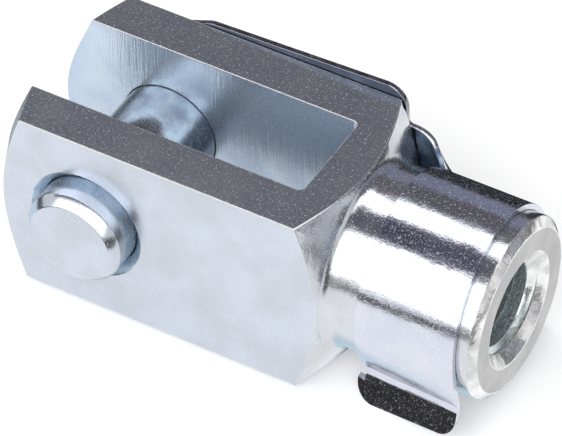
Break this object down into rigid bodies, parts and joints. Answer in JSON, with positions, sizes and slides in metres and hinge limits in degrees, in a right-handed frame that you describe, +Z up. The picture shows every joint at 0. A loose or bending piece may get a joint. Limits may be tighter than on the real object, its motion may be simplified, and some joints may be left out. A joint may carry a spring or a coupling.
{
  "type": "clevis rod end",
  "caption": "Clevis rod end turned from square bar, with a slotted fork, a tapped round neck and a cross pin riveted to a spring clip that snaps over the neck.",
  "frame": {"origin": "where the axis of the cross pin passes the middle of the slot", "axes": "+X along the neck to its tapped end, Y along the cross pin with the clip's strap on the +Y side, +Z up, the slot being open above and below"},
  "size_m": [0.0519, 0.0249, 0.0216],
  "materials": {
    "fork_steel": "bright zinc plated, turned and milled",
    "pin_steel": "bright zinc plated, turned",
    "spring_steel": "bright zinc plated, smooth rolled sheet"
  },
  "bodies": {
    "fork_head": {"fork_head": "fork_steel"},
    "clevis_pin": {"clevis_pin": "pin_steel"},
    "spring_clip": {"spring_clip": "spring_steel"}
  },
  "joints": [
    {"name": "pin_slide", "type": "slide", "parent": "fork_head", "child": "clevis_pin", "axis": [0, 1, 0], "range_m": [0, 0.023], "deforming": ["spring_clip"]},
    {"name": "clip_swing", "type": "hinge", "parent": "clevis_pin", "child": "spring_clip", "pos_m": [0, 0, 0], "axis": [0, -1, 0], "range_deg": [0, 320], "deforming": ["spring_clip"]}
  ]
}
